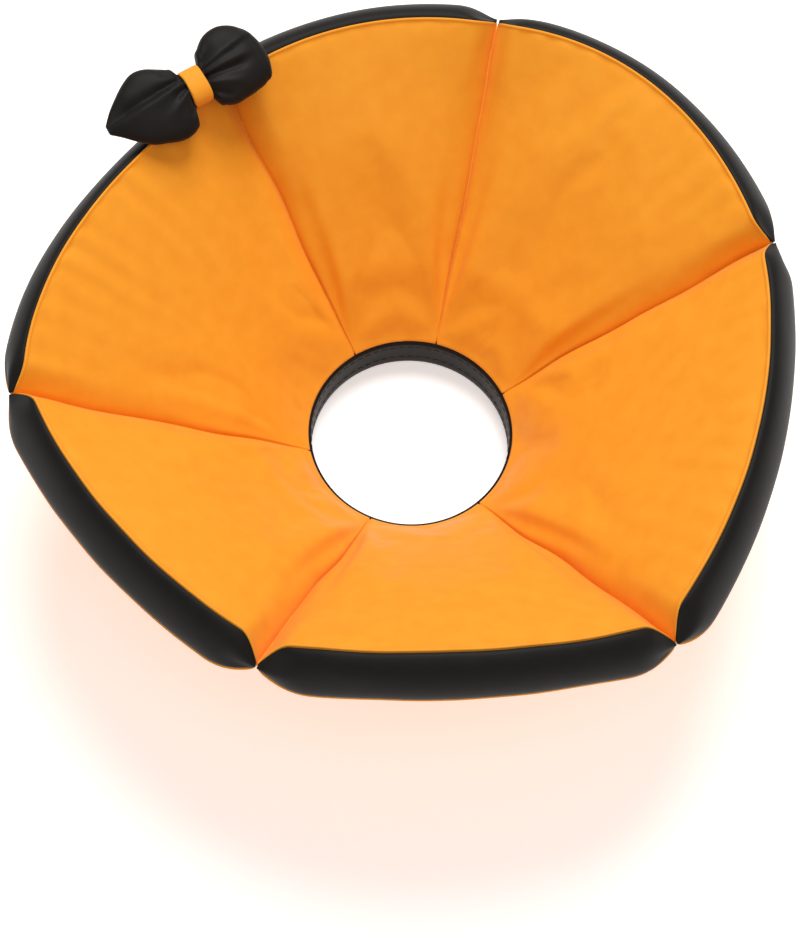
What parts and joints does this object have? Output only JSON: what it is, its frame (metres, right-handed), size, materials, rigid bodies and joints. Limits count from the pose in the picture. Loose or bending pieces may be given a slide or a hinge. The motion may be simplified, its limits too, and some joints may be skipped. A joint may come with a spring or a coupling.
{
  "type": "soft elizabethan collar",
  "caption": "Soft padded protective cone for an animal's neck, sewn from panels, with a pinched edge strip round the rim and a small bow.",
  "frame": {"origin": "centre of the neck opening, on the surface that the neck band stands on", "axes": "+Z along the neck's axis, out of the wide rim; +Y to the side that is up when worn; +X to the right as seen from in front"},
  "size_m": [0.3564, 0.3533, 0.145],
  "materials": {
    "orange_cloth": "smooth matt woven polyester",
    "black_cloth": "smooth matt woven polyester"
  },
  "bodies": {
    "root": {"panel_upper_right": "orange_cloth", "panel_top": "orange_cloth", "panel_upper_left": "orange_cloth", "panel_lower_left": "orange_cloth", "panel_bottom": "orange_cloth", "panel_right": "orange_cloth", "edge_strip_upper_right": "black_cloth", "edge_strip_top": "black_cloth", "edge_strip_upper_left": "black_cloth", "edge_strip_lower_left": "black_cloth", "edge_strip_bottom": "black_cloth", "edge_strip_right": "black_cloth", "neck_band": "black_cloth", "bow": "black_cloth", "bow_knot": "orange_cloth"}
  },
  "joints": []
}
